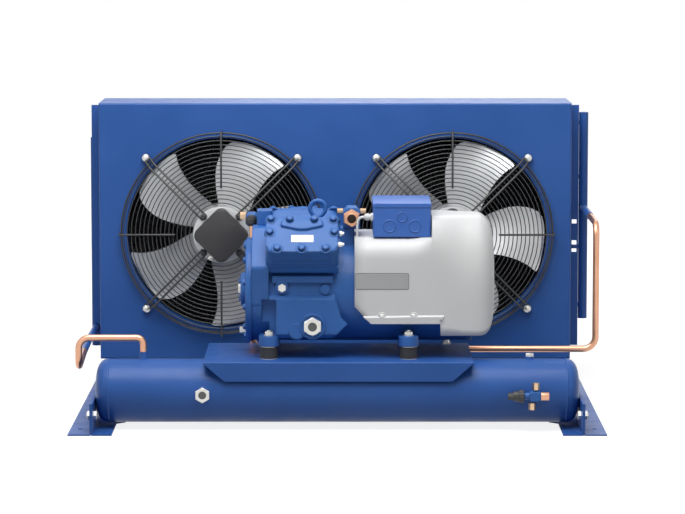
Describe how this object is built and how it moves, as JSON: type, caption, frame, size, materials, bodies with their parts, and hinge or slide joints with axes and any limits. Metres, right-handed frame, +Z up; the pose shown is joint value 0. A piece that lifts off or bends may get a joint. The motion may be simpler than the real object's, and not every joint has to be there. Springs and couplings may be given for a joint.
{
  "type": "refrigeration condensing unit",
  "caption": "Air-cooled refrigeration condensing unit: semi-hermetic piston compressor and liquid receiver on a base frame, in front of a condenser with guarded axial fans.",
  "frame": {"origin": "on the floor, at the centre of the four fixing holes in the base rails", "axes": "+X to the right along the liquid receiver and the crankshaft, +Y to the back where the condenser stands, +Z up"},
  "size_m": [1.2, 0.9, 0.684],
  "materials": {
    "blue_paint": "semi-gloss blue enamel, sheet",
    "blue_casting": "semi-gloss blue enamel over castings",
    "silver": "zinc-plated steel",
    "steel": "machined steel",
    "brass": "machined brass",
    "copper": "drawn copper",
    "aluminium": "plain aluminium sheet and fins",
    "rubber": "moulded rubber",
    "blue_plastic": "moulded blue plastic",
    "black_plastic": "moulded black plastic",
    "grey_plastic": "moulded light grey plastic",
    "dark_wire": "dark grey powder-coated wire",
    "glass": "clear glass",
    "winding": "laminations and varnished winding"
  },
  "bodies": {
    "unit": {"base_plate": "blue_paint", "bearing_cover": "blue_casting", "cable_gland": "grey_plastic", "coil_end_plates": "blue_paint", "coil_fins": "aluminium", "condenser_brackets": "blue_paint", "connection_tubes": "copper", "cowl_casing": "blue_paint", "crankcase": "blue_casting", "cross_beam": "blue_paint", "cylinder_head_front": "blue_casting", "cylinder_head_rear": "blue_casting", "discharge_pipe": "copper", "discharge_valve_body": "blue_casting", "discharge_valve_cap": "black_plastic", "end_cover": "blue_casting", "end_cover_bolts": "blue_casting", "fan_cowl": "blue_paint", "fan_guard_left": "dark_wire", "fan_guard_right": "dark_wire", "fan_motor_caps": "black_plastic", "fan_stators": "grey_plastic", "frame_bolts": "silver", "gas_header": "blue_paint", "head_bolts": "blue_casting", "lifting_eye": "blue_casting", "liquid_header": "blue_paint", "liquid_pipe": "copper", "main_bearings": "brass", "motor_cover": "grey_plastic", "motor_cover_screws": "silver", "motor_stator": "winding", "mount_bolts": "silver", "oil_plugs": "silver", "pipe_clip": "silver", "rail_left": "blue_paint", "rail_right": "blue_paint", "receiver_foot_left": "blue_paint", "receiver_foot_right": "blue_paint", "receiver_plug": "silver", "receiver_shell": "blue_paint", "receiver_valve_body": "blue_casting", "receiver_valve_cap": "black_plastic", "rubber_mounts": "rubber", "sensor_cable": "grey_plastic", "service_port_caps": "brass", "sight_glass_lenses": "glass", "sight_glass_rings": "silver", "suction_valve_body": "blue_casting", "terminal_box": "blue_plastic", "terminal_box_lid": "blue_plastic", "valve_plate_front": "blue_casting", "valve_plate_rear": "blue_casting"},
    "fan_left": {"impeller_left": "aluminium"},
    "fan_right": {"impeller_right": "aluminium"},
    "crank": {"crankshaft": "steel", "motor_rotor": "steel"}
  },
  "joints": [
    {"name": "fan_left_spin", "type": "hinge", "parent": "unit", "child": "fan_left", "pos_m": [-0.275, 0.2, 0.3755], "axis": [0, 1, 0], "continuous": true},
    {"name": "fan_right_spin", "type": "hinge", "parent": "unit", "child": "fan_right", "pos_m": [0.271, 0.2, 0.3755], "axis": [0, 1, 0], "continuous": true},
    {"name": "crankshaft_spin", "type": "hinge", "parent": "unit", "child": "crank", "pos_m": [0, -0.226, 0.295], "axis": [1, 0, 0], "continuous": true}
  ]
}
